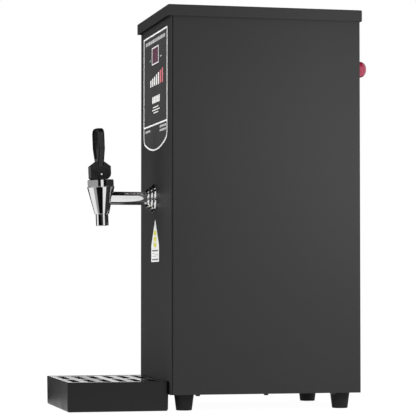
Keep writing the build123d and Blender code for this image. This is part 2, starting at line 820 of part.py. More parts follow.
# ----------------------------------------------------------------------- inlet valve
guide_r = plunger_r + running_fit
guide_top = inlet_z + valve_size / 2 + coil_h
plunger_z = guide_top - guide_wall - plunger_travel - slip - plunger_h
with BuildPart() as inlet_valve:
    with Locations((inlet_x, valve_rear_y - valve_depth / 2, inlet_z)):
        Box(valve_size, valve_depth, valve_size)
    with BuildSketch(facing_front(valve_rear_y)):
        with Locations((inlet_x, inlet_z)):
            Circle(inlet_flange_r)
    extrude(amount=-inlet_flange_t)
    with BuildSketch(facing_front(valve_rear_y)):
        with Locations((inlet_x, inlet_z)):
            Circle(inlet_thread_r)
    extrude(amount=-(inlet_flange_t + sheet_t + inlet_reach))
    with BuildSketch(facing_front(rear_y + inlet_reach)):
        with Locations((inlet_x, inlet_z)):
            Circle(inlet_thread_r - hose_wall)
    extrude(amount=inlet_reach, mode=Mode.SUBTRACT)
    with BuildSketch(facing_front(valve_front_y)):
        with Locations((inlet_x, inlet_z)):
            Circle(spigot_r)
    extrude(amount=valve_tail)
    with Locations((inlet_x, valve_rear_y - valve_depth / 2, guide_top)):
        Cylinder(guide_r + guide_wall, coil_h, align=(Align.CENTER, Align.CENTER, Align.MAX))
    with Locations((inlet_x, valve_rear_y - valve_depth / 2, guide_top - guide_wall)):
        Cylinder(guide_r, plunger_h + plunger_travel + slip, mode=Mode.SUBTRACT,
                 align=(Align.CENTER, Align.CENTER, Align.MAX))
keep(inlet_valve, "inlet_valve")

with BuildPart() as valve_plunger:
    with Locations((inlet_x, valve_rear_y - valve_depth / 2, plunger_z)):
        Cylinder(plunger_r, plunger_h, align=(Align.CENTER, Align.CENTER, Align.MIN))
keep(valve_plunger, "valve_plunger")

with BuildPart() as valve_coil:
    with Locations((inlet_x, valve_rear_y - valve_depth / 2, guide_top)):
        Cylinder(coil_r, coil_h - rest_gap, align=(Align.CENTER, Align.CENTER, Align.MAX))
        Cylinder(guide_r + guide_wall, coil_h, mode=Mode.SUBTRACT,
                 align=(Align.CENTER, Align.CENTER, Align.MAX))
keep(valve_coil, "valve_coil")

# ---------------------------------------------------------- heating, probes and cut-out
with BuildPart() as heating_elements:
    for row_y in (tank_y - element_pair / 2, tank_y + element_pair / 2):
        with BuildLine() as element_route:
            FilletPolyline((-element_span / 2, row_y, tank_z - element_tail),
                           (-element_span / 2, row_y, element_top),
                           (element_span / 2, row_y, element_top),
                           (element_span / 2, row_y, tank_z - element_tail),
                           radius=element_bend_r)
        with BuildSketch(Plane.XY.offset(tank_z - element_tail)):
            with Locations((-element_span / 2, row_y)):
                Circle(element_r)
        sweep(path=element_route.line)
keep(heating_elements, "heating_elements")

with BuildPart() as element_nuts:
    with BuildSketch(Plane.XY.offset(tank_z)):
        with Locations(element_places):
            RegularPolygon(element_nut_w / 2, 6, major_radius=False)
            Circle(element_r, mode=Mode.SUBTRACT)
    extrude(amount=-element_nut_t)
keep(element_nuts, "element_nuts")

probe_top = tank_lid_top + bushing_h + probe_free
probe_ring = PolarLocations(probe_circle_r, len(probe_depths)).locations
with BuildPart() as level_probes:
    for place, depth in zip(probe_ring, probe_depths):
        with Locations((place.position.X, tank_y + place.position.Y, tank_top - depth)):
            Cylinder(probe_r, probe_top - tank_top + depth,
                     align=(Align.CENTER, Align.CENTER, Align.MIN))
keep(level_probes, "level_probes")

with BuildPart() as probe_bushings:
    with Locations((0, tank_y, tank_lid_top)):
        with PolarLocations(probe_circle_r, len(probe_depths)):
            Cylinder(bushing_r, bushing_h, align=(Align.CENTER, Align.CENTER, Align.MIN))
            Cylinder(bushing_neck_r, bushing_h, align=(Align.CENTER, Align.CENTER, Align.MAX))
            Cylinder(probe_r, 3 * bushing_h, mode=Mode.SUBTRACT)
keep(probe_bushings, "probe_bushings")

thermometer_y = tank_front_y - thermometer_nut_t
with BuildPart() as thermometer:
    with BuildSketch(facing_front(thermometer_y)):
        with Locations((0, thermometer_z)):
            RegularPolygon(thermometer_nut_w / 2, 6, major_radius=False)
    extrude(amount=-thermometer_nut_t + seam)
    with BuildSketch(facing_front(thermometer_y - thermometer_nut_t)):
        with Locations((0, thermometer_z)):
            Circle(thermometer_r)
    extrude(amount=-(thermometer_reach + 2 * thermometer_nut_t))
keep(thermometer, "thermometer")

with BuildPart() as thermal_cutout:
    with Locations((cutout_x, tank_y - cutout_forward, tank_lid_top)):
        Cylinder(cutout_r, cutout_h, align=(Align.CENTER, Align.CENTER, Align.MIN))
    with Locations((cutout_x, tank_y - cutout_forward, tank_lid_top + cutout_h)):
        with GridLocations(cutout_tab_pitch, 0, 2, 1):
            Box(cutout_tab_t, cutout_tab_w, cutout_tab_w,
                align=(Align.CENTER, Align.CENTER, Align.MIN))
keep(thermal_cutout, "thermal_cutout")

# ------------------------------------------------------------------- electronics shelf
shelf_d = casing_d - shelf_front_gap - shelf_rear_gap
shelf_y = (front_y + shelf_front_gap + rear_y - shelf_rear_gap) / 2
shelf_top = shelf_z + sheet_t
shelf_half_w = inner_x - seam
with BuildPart() as electronics_shelf:
    with BuildSketch(facing_front(shelf_y + shelf_d / 2)):
        with Locations((0, shelf_z + sheet_t / 2)):
            Rectangle(2 * shelf_half_w, sheet_t)
        with Locations((-(shelf_half_w - sheet_t / 2), shelf_top - return_w / 2),
                       (shelf_half_w - sheet_t / 2, shelf_top - return_w / 2)):
            Rectangle(sheet_t, return_w)
    extrude(amount=shelf_d)
keep(electronics_shelf, "electronics_shelf")

control_board_x = shelf_half_w - control_board_edge - control_board_w / 2
control_board_z = shelf_top + board_lift
with BuildPart() as board_standoffs:
    with Locations((control_board_x, shelf_y, shelf_top)):
        with GridLocations(control_board_w - 2 * standoff_inset,
                           control_board_d - 2 * standoff_inset, 2, 2):
            Cylinder(standoff_r, board_lift, align=(Align.CENTER, Align.CENTER, Align.MIN))
    with BuildSketch(facing_front(display_y)):
        with Locations(display_standoff_places):
            Circle(standoff_r)
    extrude(amount=display_gap - sheet_t)
keep(board_standoffs, "board_standoffs")

with BuildPart() as control_board:
    with Locations((control_board_x, shelf_y, control_board_z)):
        Box(control_board_w, control_board_d, board_t,
            align=(Align.CENTER, Align.CENTER, Align.MIN))
keep(control_board, "control_board")

# Transformer, two relays and two capacitors, each a separate solid on the board.
parts_z = control_board_z + board_t
with BuildPart() as board_components:
    with Locations((control_board_x - control_board_w / 4, shelf_y, parts_z)):
        Box(transformer_w, transformer_d, transformer_h,
            align=(Align.CENTER, Align.CENTER, Align.MIN))
    with Locations((control_board_x + control_board_w / 8, shelf_y, parts_z)):
        with GridLocations(0, relay_pitch, 1, 2):
            Box(relay_w, relay_d, relay_h, align=(Align.CENTER, Align.CENTER, Align.MIN))
    with Locations((control_board_x + control_board_w / 3, shelf_y, parts_z)):
        with GridLocations(0, capacitor_pitch, 1, 2):
            Cylinder(capacitor_r, capacitor_h, align=(Align.CENTER, Align.CENTER, Align.MIN))
keep(board_components, "board_components")

contactor_x = -(shelf_half_w - contactor_edge - contactor_w / 2)
with BuildPart() as contactor:
    with Locations((contactor_x, shelf_y, shelf_top)):
        Box(contactor_w, contactor_d, contactor_base_h,
            align=(Align.CENTER, Align.CENTER, Align.MIN))
        Box(contactor_w, contactor_top_d, contactor_h,
            align=(Align.CENTER, Align.CENTER, Align.MIN))
keep(contactor, "contactor")

terminal_x = -(shelf_half_w - terminal_edge - terminal_w / 2)
terminal_y = rear_y - terminal_rear_gap
with BuildPart() as terminal_block:
    with Locations((terminal_x, terminal_y, shelf_top)):
        Box(terminal_w, terminal_d, terminal_base_h,
            align=(Align.CENTER, Align.CENTER, Align.MIN))
        with GridLocations(terminal_w / terminal_ways, 0, terminal_ways, 1):
            Box(terminal_w / terminal_ways - terminal_slit, terminal_top_d, terminal_h,
                align=(Align.CENTER, Align.CENTER, Align.MIN))
keep(terminal_block, "terminal_block")

# -------------------------------------------------------------------------- cable gland
with BuildPart() as cable_gland:
    with BuildSketch(facing_front(rear_y + gland_hex_t)):
        with Locations((gland_x, gland_z)):
            RegularPolygon(gland_hex_w / 2, 6, major_radius=False)
    extrude(amount=gland_hex_t)
    with BuildSketch(facing_front(rear_y + gland_hex_t)):
        with Locations((gland_x, gland_z)):
            Circle(gland_dome_r)
    extrude(amount=-gland_dome_l, taper=gland_dome_taper)
    with BuildSketch(facing_front(rear_y)):
        with Locations((gland_x, gland_z)):
            Circle(gland_thread_r)
    extrude(amount=gland_inside)
    with BuildSketch(facing_front(rear_y - gland_inside)):
        with Locations((gland_x, gland_z)):
            Circle(gland_bore_r)
    extrude(amount=-(gland_inside + gland_hex_t + gland_dome_l), mode=Mode.SUBTRACT)
keep(cable_gland, "cable_gland")

# ------------------------------------------------------------------------- power button
# Housing: a flanged barrel clamped in the rear panel, closed by the switch at its back.
barrel_r = button_r + button_fit + barrel_wall
with BuildPart() as button_housing:
    with BuildSketch(facing_front(rear_y)):
        with Locations((button_x, button_z)):
            Circle(bezel_r)
    extrude(amount=-bezel_t)
    chamfer(button_housing.faces().sort_by(Axis.Y)[-1].edges(), bezel_edge)
    with BuildSketch(facing_front(rear_y)):
        with Locations((button_x, button_z)):
            Circle(barrel_r)
    extrude(amount=barrel_l)
    with BuildSketch(facing_front(rear_y + bezel_t)):
        with Locations((button_x, button_z)):
            Circle(button_r + button_fit)
    extrude(amount=barrel_l, mode=Mode.SUBTRACT)
keep(button_housing, "button_housing")

# Nuts behind the rear panel: a round one on the barrel, a hexagonal one on the gland.
with BuildPart() as panel_nuts:
    with BuildSketch(facing_front(rear_y - sheet_t)):
        with Locations((button_x, button_z)):
            Circle(button_nut_r)
            Circle(barrel_r, mode=Mode.SUBTRACT)
        with Locations((gland_x, gland_z)):
            RegularPolygon(gland_hex_w / 2, 6, major_radius=False)
            Circle(gland_thread_r, mode=Mode.SUBTRACT)
    extrude(amount=button_nut_t)
keep(panel_nuts, "panel_nuts")

# The barrel's floor is bezel_t thick; the switch sits behind it.
barrel_floor_y = rear_y - barrel_l + bezel_t
with BuildPart() as button_switch:
    with BuildSketch(facing_front(rear_y - barrel_l)):
        with Locations((button_x, button_z)):
            Rectangle(switch_w, switch_w)
    extrude(amount=switch_l)
    with BuildSketch(facing_front(rear_y - barrel_l - switch_l)):
        with Locations((button_x, button_z)):
            with GridLocations(switch_pin_pitch, 0, 3, 1):
                Rectangle(switch_pin_t, switch_pin_w)
    extrude(amount=switch_pin_l)
keep(button_switch, "button_switch")

# Domed cap: a shell whose skirt runs in the barrel, with a post that works the switch.
cap_roof_y = rear_y + button_reach - button_dome_r - button_wall
with BuildPart() as power_button:
    with BuildSketch(facing_front(rear_y - button_skirt)):
        with Locations((button_x, button_z)):
            Circle(button_r)
    extrude(amount=-(button_skirt + button_reach))
    fillet(power_button.faces().sort_by(Axis.Y)[-1].edges(), button_dome_r)
    with BuildSketch(facing_front(rear_y - button_skirt)):
        with Locations((button_x, button_z)):
            Circle(button_r - button_wall)
    extrude(amount=-(cap_roof_y - rear_y + button_skirt), mode=Mode.SUBTRACT)
    with BuildSketch(facing_front(cap_roof_y)):
        with Locations((button_x, button_z)):
            Circle(switch_post_r)
    extrude(amount=cap_roof_y - barrel_floor_y - button_travel - rest_gap)
keep(power_button, "power_button")

button_spring_l = cap_roof_y - barrel_floor_y - 2 * rest_gap
with BuildPart() as button_spring:
    with BuildLine() as button_coil:
        Helix(pitch=(button_spring_l - button_spring_wire) / button_spring_turns,
              height=button_spring_l - button_spring_wire, radius=button_spring_r,
              center=(button_x, barrel_floor_y + rest_gap + button_spring_wire / 2, button_z),
              direction=(0, 1, 0))
    with BuildSketch(Plane(origin=button_coil.line @ 0, z_dir=button_coil.line % 0)):
        Circle(button_spring_wire / 2)
    sweep(path=button_coil.line, is_frenet=True)
keep(button_spring, "button_spring")

# --------------------------------------------------------------------------------- tap
# The tap's own axis leans by tap_cant: its top towards the user, its spout towards the
# casing. tap_side is a sketch plane along that axis, with x to the rear and y upwards.
cant_sin, cant_cos = sin(radians(tap_cant)), cos(radians(tap_cant))
tap_up = Vector(0, -cant_sin, cant_cos)
tap_origin = Vector(0, front_y - tap_reach, tap_z)
tap_axis = Axis(tap_origin, tap_up)
tap_side = Plane(origin=tap_origin, x_dir=(0, cant_cos, cant_sin), z_dir=(1, 0, 0))
bonnet_low = cone_top
bonnet_high = bonnet_low + bonnet_t
pin_up = bonnet_high + lever_gap + pin_height
pin_point = tap_origin + tap_up * pin_up
turn_sin, turn_cos = sin(radians(lever_turn)), cos(radians(lever_turn))
pin_rear = Vector(-turn_sin, cant_cos * turn_cos, cant_sin * turn_cos)
pin_along = Vector(turn_cos, cant_cos * turn_sin, cant_sin * turn_sin)
pin_side = Plane(origin=pin_point, x_dir=pin_rear, z_dir=pin_along)
pin_front = Plane(origin=pin_point, x_dir=pin_along, z_dir=-pin_rear)

# Valve body: cone, nozzle and level shank in one chromed casting.
with BuildPart() as tap_body:
    with BuildSketch(tap_side) as tap_section:
        with BuildLine():
            Polyline((0, nozzle_end), (nozzle_r, nozzle_end), (nozzle_r, cone_low),
                     (cone_low_r, cone_low), (cone_top_r, cone_top - cone_rim_t),
                     (cone_top_r, cone_top), (0, cone_top), close=True)
        make_face()
        fillet(tap_section.vertices().sort_by_distance((cone_top_r, cone_top))[0:2],
               cone_edge_r)
        fillet(tap_section.vertices().sort_by_distance((cone_low_r, cone_low))[0], cone_edge_r)
        fillet(tap_section.vertices().sort_by_distance((nozzle_r, nozzle_end))[0], cone_edge_r)
    revolve(axis=tap_axis)
    with BuildSketch(facing_front(front_y - tap_reach)):
        with Locations((0, tap_z)):
            Circle(shank_r)
    extrude(amount=-(tap_reach + shank_thread_l))
    with BuildSketch(facing_front(front_y + shank_thread_l)):
        with Locations((0, tap_z)):
            Circle(spigot_r)
    extrude(amount=-shank_tail_l)
    with BuildSketch(tap_side):
        with BuildLine():
            Polyline((0, nozzle_end), (nozzle_bore_r, nozzle_end), (nozzle_bore_r, seat_height),
                     (chamber_low_r, seat_height), (chamber_top_r, cone_top), (0, cone_top),
                     close=True)
        make_face()
    revolve(axis=tap_axis, mode=Mode.SUBTRACT)
    with BuildSketch(facing_front(front_y - tap_reach)):
        with Locations((0, tap_z)):
            Circle(waterway_r)
    extrude(amount=-(tap_reach + shank_thread_l + shank_tail_l), mode=Mode.SUBTRACT)
keep(tap_body, "tap_body")

# Bonnet: screwed ring that closes the cone and guides the stem.
with BuildPart() as tap_bonnet:
    with BuildSketch(tap_side):
        with BuildLine():
            Polyline((stem_r + running_fit, bonnet_low - bonnet_spigot_t),
                     (chamber_low_r, bonnet_low - bonnet_spigot_t), (chamber_low_r, bonnet_low),
                     (bonnet_r, bonnet_low), (bonnet_r, bonnet_high - bonnet_edge_r),
                     (bonnet_r - bonnet_edge_r, bonnet_high),
                     (stem_r + running_fit, bonnet_high), close=True)
        make_face()
    revolve(axis=tap_axis)
keep(tap_bonnet, "tap_bonnet")

# Stem: rod through the bonnet, with a cross hole for the lever pin.
stem_foot = seat_height + seat_cup_t
with BuildPart() as tap_stem:
    with BuildSketch(tap_side):
        with BuildLine():
            Polyline((0, stem_foot), (stem_r, stem_foot), (stem_r, pin_up + stem_top),
                     (0, pin_up + stem_top), close=True)
        make_face()
    revolve(axis=tap_axis)
    with BuildSketch(pin_side):
        Circle(pin_r + running_fit)
    extrude(amount=stem_r, both=True, mode=Mode.SUBTRACT)
keep(tap_stem, "tap_stem")

with BuildPart() as seat_cup:
    with BuildSketch(tap_side):
        with BuildLine():
            Polyline((0, seat_height), (seat_cup_r, seat_height),
                     (seat_cup_r, seat_height + seat_cup_rim_t),
                     (tap_spring_r + tap_spring_wire, stem_foot), (0, stem_foot), close=True)
        make_face()
    revolve(axis=tap_axis)
keep(seat_cup, "seat_cup")

tap_spring_low = stem_foot + rest_gap + tap_spring_wire / 2
tap_spring_high = bonnet_low - bonnet_spigot_t - rest_gap - tap_spring_wire / 2
with BuildPart() as tap_spring:
    with BuildLine() as tap_coil:
        Helix(pitch=(tap_spring_high - tap_spring_low) / tap_spring_turns,
              height=tap_spring_high - tap_spring_low, radius=tap_spring_r,
              center=tap_origin + tap_up * tap_spring_low, direction=tap_up)
    with BuildSketch(Plane(origin=tap_coil.line @ 0, z_dir=tap_coil.line % 0)):
        Circle(tap_spring_wire / 2)
    sweep(path=tap_coil.line, is_frenet=True)
keep(tap_spring, "tap_spring")

# Escutcheon on the shank, outside the front panel: three turned steps.
escutcheon_steps = ((escutcheon_r, escutcheon_t), (escutcheon_step_r, escutcheon_step_t),
                    (collar_r, collar_t))
with BuildPart() as tap_escutcheon:
    step_y = front_y
    for step_r, step_t in escutcheon_steps:
        with BuildSketch(facing_front(step_y)):
            with Locations((0, tap_z)):
                Circle(step_r)
                Circle(shank_r + slip, mode=Mode.SUBTRACT)
        extrude(amount=step_t)
        chamfer(tap_escutcheon.faces().sort_by(Axis.Y)[0].outer_wire().edges(), escutcheon_edge)
        step_y -= step_t
keep(tap_escutcheon, "tap_escutcheon")

with BuildPart() as tap_seal:
    with BuildSketch(facing_front(front_y + sheet_t)):
        with Locations((0, tap_z)):
            Circle(tap_seal_r)
            Circle(shank_r, mode=Mode.SUBTRACT)
    extrude(amount=-tap_seal_t)
keep(tap_seal, "tap_seal")

with BuildPart() as tap_lock_nut:
    with BuildSketch(facing_front(front_y + sheet_t + tap_seal_t)):
        with Locations((0, tap_z)):
            RegularPolygon(tap_nut_w / 2, 6, major_radius=False)
            Circle(shank_r, mode=Mode.SUBTRACT)
    extrude(amount=-tap_nut_t)
keep(tap_lock_nut, "tap_lock_nut")

# ------------------------------------------------------------------------------- lever
# Seen from the side, the block's flat heel runs into an arc about a point heel_offset
# in front of the pin, so that tilting the lever forwards lifts the stem.
heel_front_up = -(pin_height ** 2 - (lever_front - heel_offset) ** 2) ** 0.5
recess_low = lever_neck + lever_recess_rim
recess_high = lever_top - lever_recess_rim
recess_half = lever_grip_w / 2 - lever_recess_rim
grip_flare = (lever_grip_w - lever_block_w) / 2 / (lever_grip_widest - lever_shoulder)
recess_low_half = recess_half - grip_flare * (lever_grip_widest - recess_low)

# The slot clears the stem over the whole swing.
swing_sin, swing_cos = sin(radians(lever_swing)), cos(radians(lever_swing))
slot_half = stem_r + lever_slot_gap
slot_round_r = (stem_r ** 2 + stem_top ** 2) ** 0.5 + lever_slot_gap
slot_depth = pin_height + lever_slot_past
slot_front = (-slot_half * swing_cos
              - (slot_depth + slot_half * swing_sin) * swing_sin / swing_cos)
with BuildPart() as lever:
    with BuildSketch(pin_front.offset(lever_grip_front)) as grip_outline:
        with BuildLine():
            Polyline((-lever_block_w / 2, lever_shoulder), (-lever_grip_w / 2, lever_grip_widest),
                     (-lever_grip_w / 2, lever_top), (lever_grip_w / 2, lever_top),
                     (lever_grip_w / 2, lever_grip_widest), (lever_block_w / 2, lever_shoulder),
                     close=True)
        make_face()
        fillet(grip_outline.vertices().group_by(Axis.Y)[1:], lever_top_r)
    extrude(amount=-lever_grip_t)
    fillet(lever.faces().filter_by(Axis((0, 0, 0), pin_front.z_dir)).edges(), lever_edge_r)
    with BuildSketch(pin_side) as block_outline:
        with BuildLine():
            heel_arc = CenterArc((-heel_offset, 0), pin_height, 270,
                                 -(90 - degrees(acos((lever_front - heel_offset) / pin_height))))
            Polyline(heel_arc @ 1, (-lever_front, lever_shoulder),
                     (-lever_neck_front, lever_neck), (lever_neck_rear, lever_neck),
                     (lever_rear, lever_shoulder), (lever_rear, -pin_height), heel_arc @ 0)
        make_face()
        fillet(block_outline.vertices().sort_by_distance((lever_rear, -pin_height))[0],
               lever_heel_r)
    extrude(amount=lever_block_w / 2, both=True)
    with BuildSketch(pin_front.offset(lever_grip_front)) as recess_outline:
        with BuildLine():
            Polyline((-recess_low_half, recess_low), (-recess_half, lever_grip_widest),
                     (-recess_half, recess_high), (recess_half, recess_high),
                     (recess_half, lever_grip_widest), (recess_low_half, recess_low), close=True)
        make_face()
        fillet(recess_outline.vertices(), lever_recess_t)
    extrude(amount=-lever_recess_t, mode=Mode.SUBTRACT)
    with BuildSketch(pin_side):
        Circle(slot_round_r)
        with BuildLine():
            Polyline((slot_half, 0), (slot_half, -slot_depth), (slot_front, -slot_depth),
                     (-slot_half * swing_cos, slot_half * swing_sin), close=True)
        make_face()
    extrude(amount=slot_half, both=True, mode=Mode.SUBTRACT)
    with BuildSketch(pin_side):
        Circle(pin_r)
    extrude(amount=lever_block_w, both=True, mode=Mode.SUBTRACT)
keep(lever, "lever")

with BuildPart() as lever_pin:
    with BuildSketch(pin_side):
        Circle(pin_r)
    extrude(amount=lever_block_w / 2 + pin_proud, both=True)
keep(lever_pin, "lever_pin")

# --------------------------------------------------------------------------- drip tray
tray_y = front_y - tray_gap - tray_d / 2
ledge_z = tray_h - tray_ledge
grille_z = ledge_z + rest_gap
with BuildPart() as drip_tray:
    with BuildSketch(Plane.XY.offset(tray_h)):
        with Locations((0, tray_y)):
            RectangleRounded(tray_w, tray_d, tray_corner_r)
    extrude(amount=-tray_h, taper=tray_draft)
    fillet(drip_tray.faces().sort_by(Axis.Z)[0].edges(), tray_foot_r)
    fillet(drip_tray.faces().sort_by(Axis.Z)[-1].edges(), tray_edge_r)
    with BuildSketch(Plane.XY.offset(tray_h)):
        with Locations((0, tray_y)):
            RectangleRounded(tray_w - 2 * tray_rim_t, tray_d - 2 * tray_rim_t,
                             tray_corner_r - tray_rim_t)
    extrude(amount=-tray_ledge, mode=Mode.SUBTRACT)
    with BuildSketch(Plane.XY.offset(ledge_z)):
        with Locations((0, tray_y)):
            RectangleRounded(tray_w - 2 * tray_wall, tray_d - 2 * tray_wall, tray_foot_r)
    extrude(amount=-(ledge_z - tray_floor_t), taper=tray_draft, mode=Mode.SUBTRACT)
keep(drip_tray, "drip_tray")

grille_w = tray_w - 2 * (tray_rim_t + grille_gap)
grille_d = tray_d - 2 * (tray_rim_t + grille_gap)
grille_pitch_x = (grille_w - 2 * grille_margin_x + grille_bar_w) / grille_across
grille_pitch_y = (grille_d - 2 * grille_margin_y - grille_slot_w) / (grille_along - 1)
with BuildPart() as drip_grille:
    with BuildSketch(Plane.XY.offset(grille_z)):
        with Locations((0, tray_y)):
            RectangleRounded(grille_w, grille_d, tray_foot_r)
            with GridLocations(grille_pitch_x, grille_pitch_y, grille_across, grille_along):
                RectangleRounded(grille_pitch_x - grille_bar_w, grille_slot_w, grille_slot_r,
                                 mode=Mode.SUBTRACT)
    extrude(amount=grille_t)
    fillet(drip_grille.faces().sort_by(Axis.Z)[-1].outer_wire().edges(), grille_edge_r)
keep(drip_grille, "drip_grille")
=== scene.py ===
from math import asin, cos, radians, sin

import bmesh
import bpy
from mathutils import Matrix, Vector


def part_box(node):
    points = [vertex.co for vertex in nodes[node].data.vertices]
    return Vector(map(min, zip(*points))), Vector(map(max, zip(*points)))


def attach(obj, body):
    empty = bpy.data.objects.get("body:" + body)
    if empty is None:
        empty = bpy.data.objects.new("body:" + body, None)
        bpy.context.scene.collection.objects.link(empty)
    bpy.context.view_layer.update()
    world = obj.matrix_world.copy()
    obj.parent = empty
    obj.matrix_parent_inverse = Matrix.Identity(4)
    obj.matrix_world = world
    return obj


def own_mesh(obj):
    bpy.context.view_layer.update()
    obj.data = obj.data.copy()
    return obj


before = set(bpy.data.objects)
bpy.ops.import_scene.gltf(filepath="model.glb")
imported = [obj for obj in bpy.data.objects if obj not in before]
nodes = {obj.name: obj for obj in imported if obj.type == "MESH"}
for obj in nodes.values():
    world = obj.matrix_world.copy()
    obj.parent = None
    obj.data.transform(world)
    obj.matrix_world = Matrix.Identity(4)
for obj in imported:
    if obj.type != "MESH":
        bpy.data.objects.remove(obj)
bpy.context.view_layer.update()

# ------------------------------------------------------------------- camera and studio
# A long lens three metres off the urn's right side, turned a little towards its front.
# The urn stands on a white table. Cards seen only in gloss shape the chrome, and three
# lamps seen only by matt surfaces light the casing.
camera_spot = (2.9909, -0.7000, 0.2020)
camera_turn, camera_rise = radians(13.15), radians(2.14)
camera = bpy.data.objects.new("camera", bpy.data.cameras.new("camera"))
bpy.context.collection.objects.link(camera)
camera.location = camera_spot
camera.rotation_mode = "QUATERNION"
camera.rotation_quaternion = Vector((
    -cos(camera_turn) * cos(camera_rise), sin(camera_turn) * cos(camera_rise),
    sin(camera_rise))).to_track_quat("-Z", "Y")
camera.data.sensor_fit = "HORIZONTAL"
camera.data.sensor_width = 36.0
camera.data.lens = 165.55
camera.data.clip_end = 30.0
bpy.context.scene.camera = camera
bpy.context.scene.view_settings.view_transform = "Standard"

wall_light = 0.45       # the room's soft light; the wall itself is seen as plain white
table_glow = 0.975      # the table's own level where the camera sees it
table_paint = 0.06      # share of the lamps' light that it adds, so that shadows show


def seen_directly(tree):
    """Socket that is 1 for what the camera sees straight, in gloss or through glass."""
    path = tree.nodes.new("ShaderNodeLightPath")
    either = path.outputs["Is Camera Ray"]
    for ray in ("Is Glossy Ray", "Is Transmission Ray"):
        larger = tree.nodes.new("ShaderNodeMath")
        larger.operation = "MAXIMUM"
        tree.links.new(either, larger.inputs[0])
        tree.links.new(path.outputs[ray], larger.inputs[1])
        either = larger.outputs[0]
    return either


room = bpy.data.worlds.new("room")
bpy.context.scene.world = room
room.use_nodes = True
tree = room.node_tree
soft = tree.nodes["Background"]
soft.inputs["Color"].default_value = (1.0, 1.0, 1.0, 1.0)
soft.inputs["Strength"].default_value = wall_light
plain = tree.nodes.new("ShaderNodeBackground")
plain.inputs["Color"].default_value = (1.0, 1.0, 1.0, 1.0)
plain.inputs["Strength"].default_value = 1.0
either = tree.nodes.new("ShaderNodeMixShader")
tree.links.new(seen_directly(tree), either.inputs["Fac"])
tree.links.new(soft.outputs[0], either.inputs[1])
tree.links.new(plain.outputs[0], either.inputs[2])
tree.links.new(either.outputs[0], tree.nodes["World Output"].inputs["Surface"])

paper = bpy.data.materials.new("white_paper")
paper.use_nodes = True
tree = paper.node_tree
bounce = tree.nodes["Principled BSDF"]
bounce.inputs["Base Color"].default_value = (0.8, 0.8, 0.8, 1.0)
bounce.inputs["Roughness"].default_value = 0.9
shadowed = tree.nodes.new("ShaderNodeBsdfDiffuse")
shadowed.inputs["Color"].default_value = (table_paint, table_paint, table_paint, 1.0)
glow = tree.nodes.new("ShaderNodeEmission")
glow.inputs["Strength"].default_value = table_glow
lit = tree.nodes.new("ShaderNodeAddShader")
either = tree.nodes.new("ShaderNodeMixShader")
tree.links.new(shadowed.outputs[0], lit.inputs[0])
tree.links.new(glow.outputs[0], lit.inputs[1])
tree.links.new(seen_directly(tree), either.inputs["Fac"])
tree.links.new(bounce.outputs[0], either.inputs[1])
tree.links.new(lit.outputs[0], either.inputs[2])
tree.links.new(either.outputs[0], tree.nodes["Material Output"].inputs["Surface"])


def card_stock(name, level):
    """A card seen at this level whatever light falls on it."""
    material = bpy.data.materials.new(name)
    material.use_nodes = True
    tree = material.node_tree
    shine = tree.nodes.new("ShaderNodeEmission")
    shine.inputs["Strength"].default_value = level
    tree.links.new(shine.outputs[0], tree.nodes["Material Output"].inputs["Surface"])
    return material


black_card = card_stock("black_card", 0.006)
dark_card = card_stock("dark_card", 0.09)
grey_card = card_stock("grey_card", 0.40)
white_card = card_stock("white_card", 1.05)


def new_object(name, bm, material):
    """An object of one material, made of this bmesh, which is then freed."""
    mesh = bpy.data.meshes.new(name)
    bm.to_mesh(mesh)
    bm.free()
    mesh.materials.append(material)
    made = bpy.data.objects.new(name, mesh)
    bpy.context.collection.objects.link(made)
    return made


def studio_sheet(name, material, width, height, place, facing):
    """A flat sheet of the studio, its middle at place and its front facing that way."""
    bm = bmesh.new()
    bmesh.ops.create_grid(bm, x_segments=1, y_segments=1, size=0.5)
    turn = Vector(facing).to_track_quat("Z", "Y").to_matrix().to_4x4()
    bm.transform(Matrix.Translation(place) @ turn @ Matrix.Diagonal((width, height, 1.0, 1.0)))
    sheet = new_object(name, bm, material)
    return sheet


def card_round_tap(name, material, start, end, near, far):
    """A card that sweeps round the tap's axis between two compass angles, in degrees from
    +X towards +Y; near and far are its two edges, each a distance from the axis and a height.
    """
    bm = bmesh.new()
    heading = Matrix.Rotation(radians(start), 4, "Z")
    edge = bm.edges.new([bm.verts.new(heading @ Vector((reach, 0.0, height)))
                         for reach, height in (near, far)])
    bmesh.ops.spin(bm, geom=list(bm.verts) + [edge], cent=(0.0, 0.0, 0.0),
                   axis=(0.0, 0.0, 1.0), angle=radians(end - start), steps=24)
    card = new_object(name, bm, material)
    stem_low, stem_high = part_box("tap_stem")
    card.location = (stem_low.x + stem_high.x) / 2, (stem_low.y + stem_high.y) / 2, 0.0
    return card


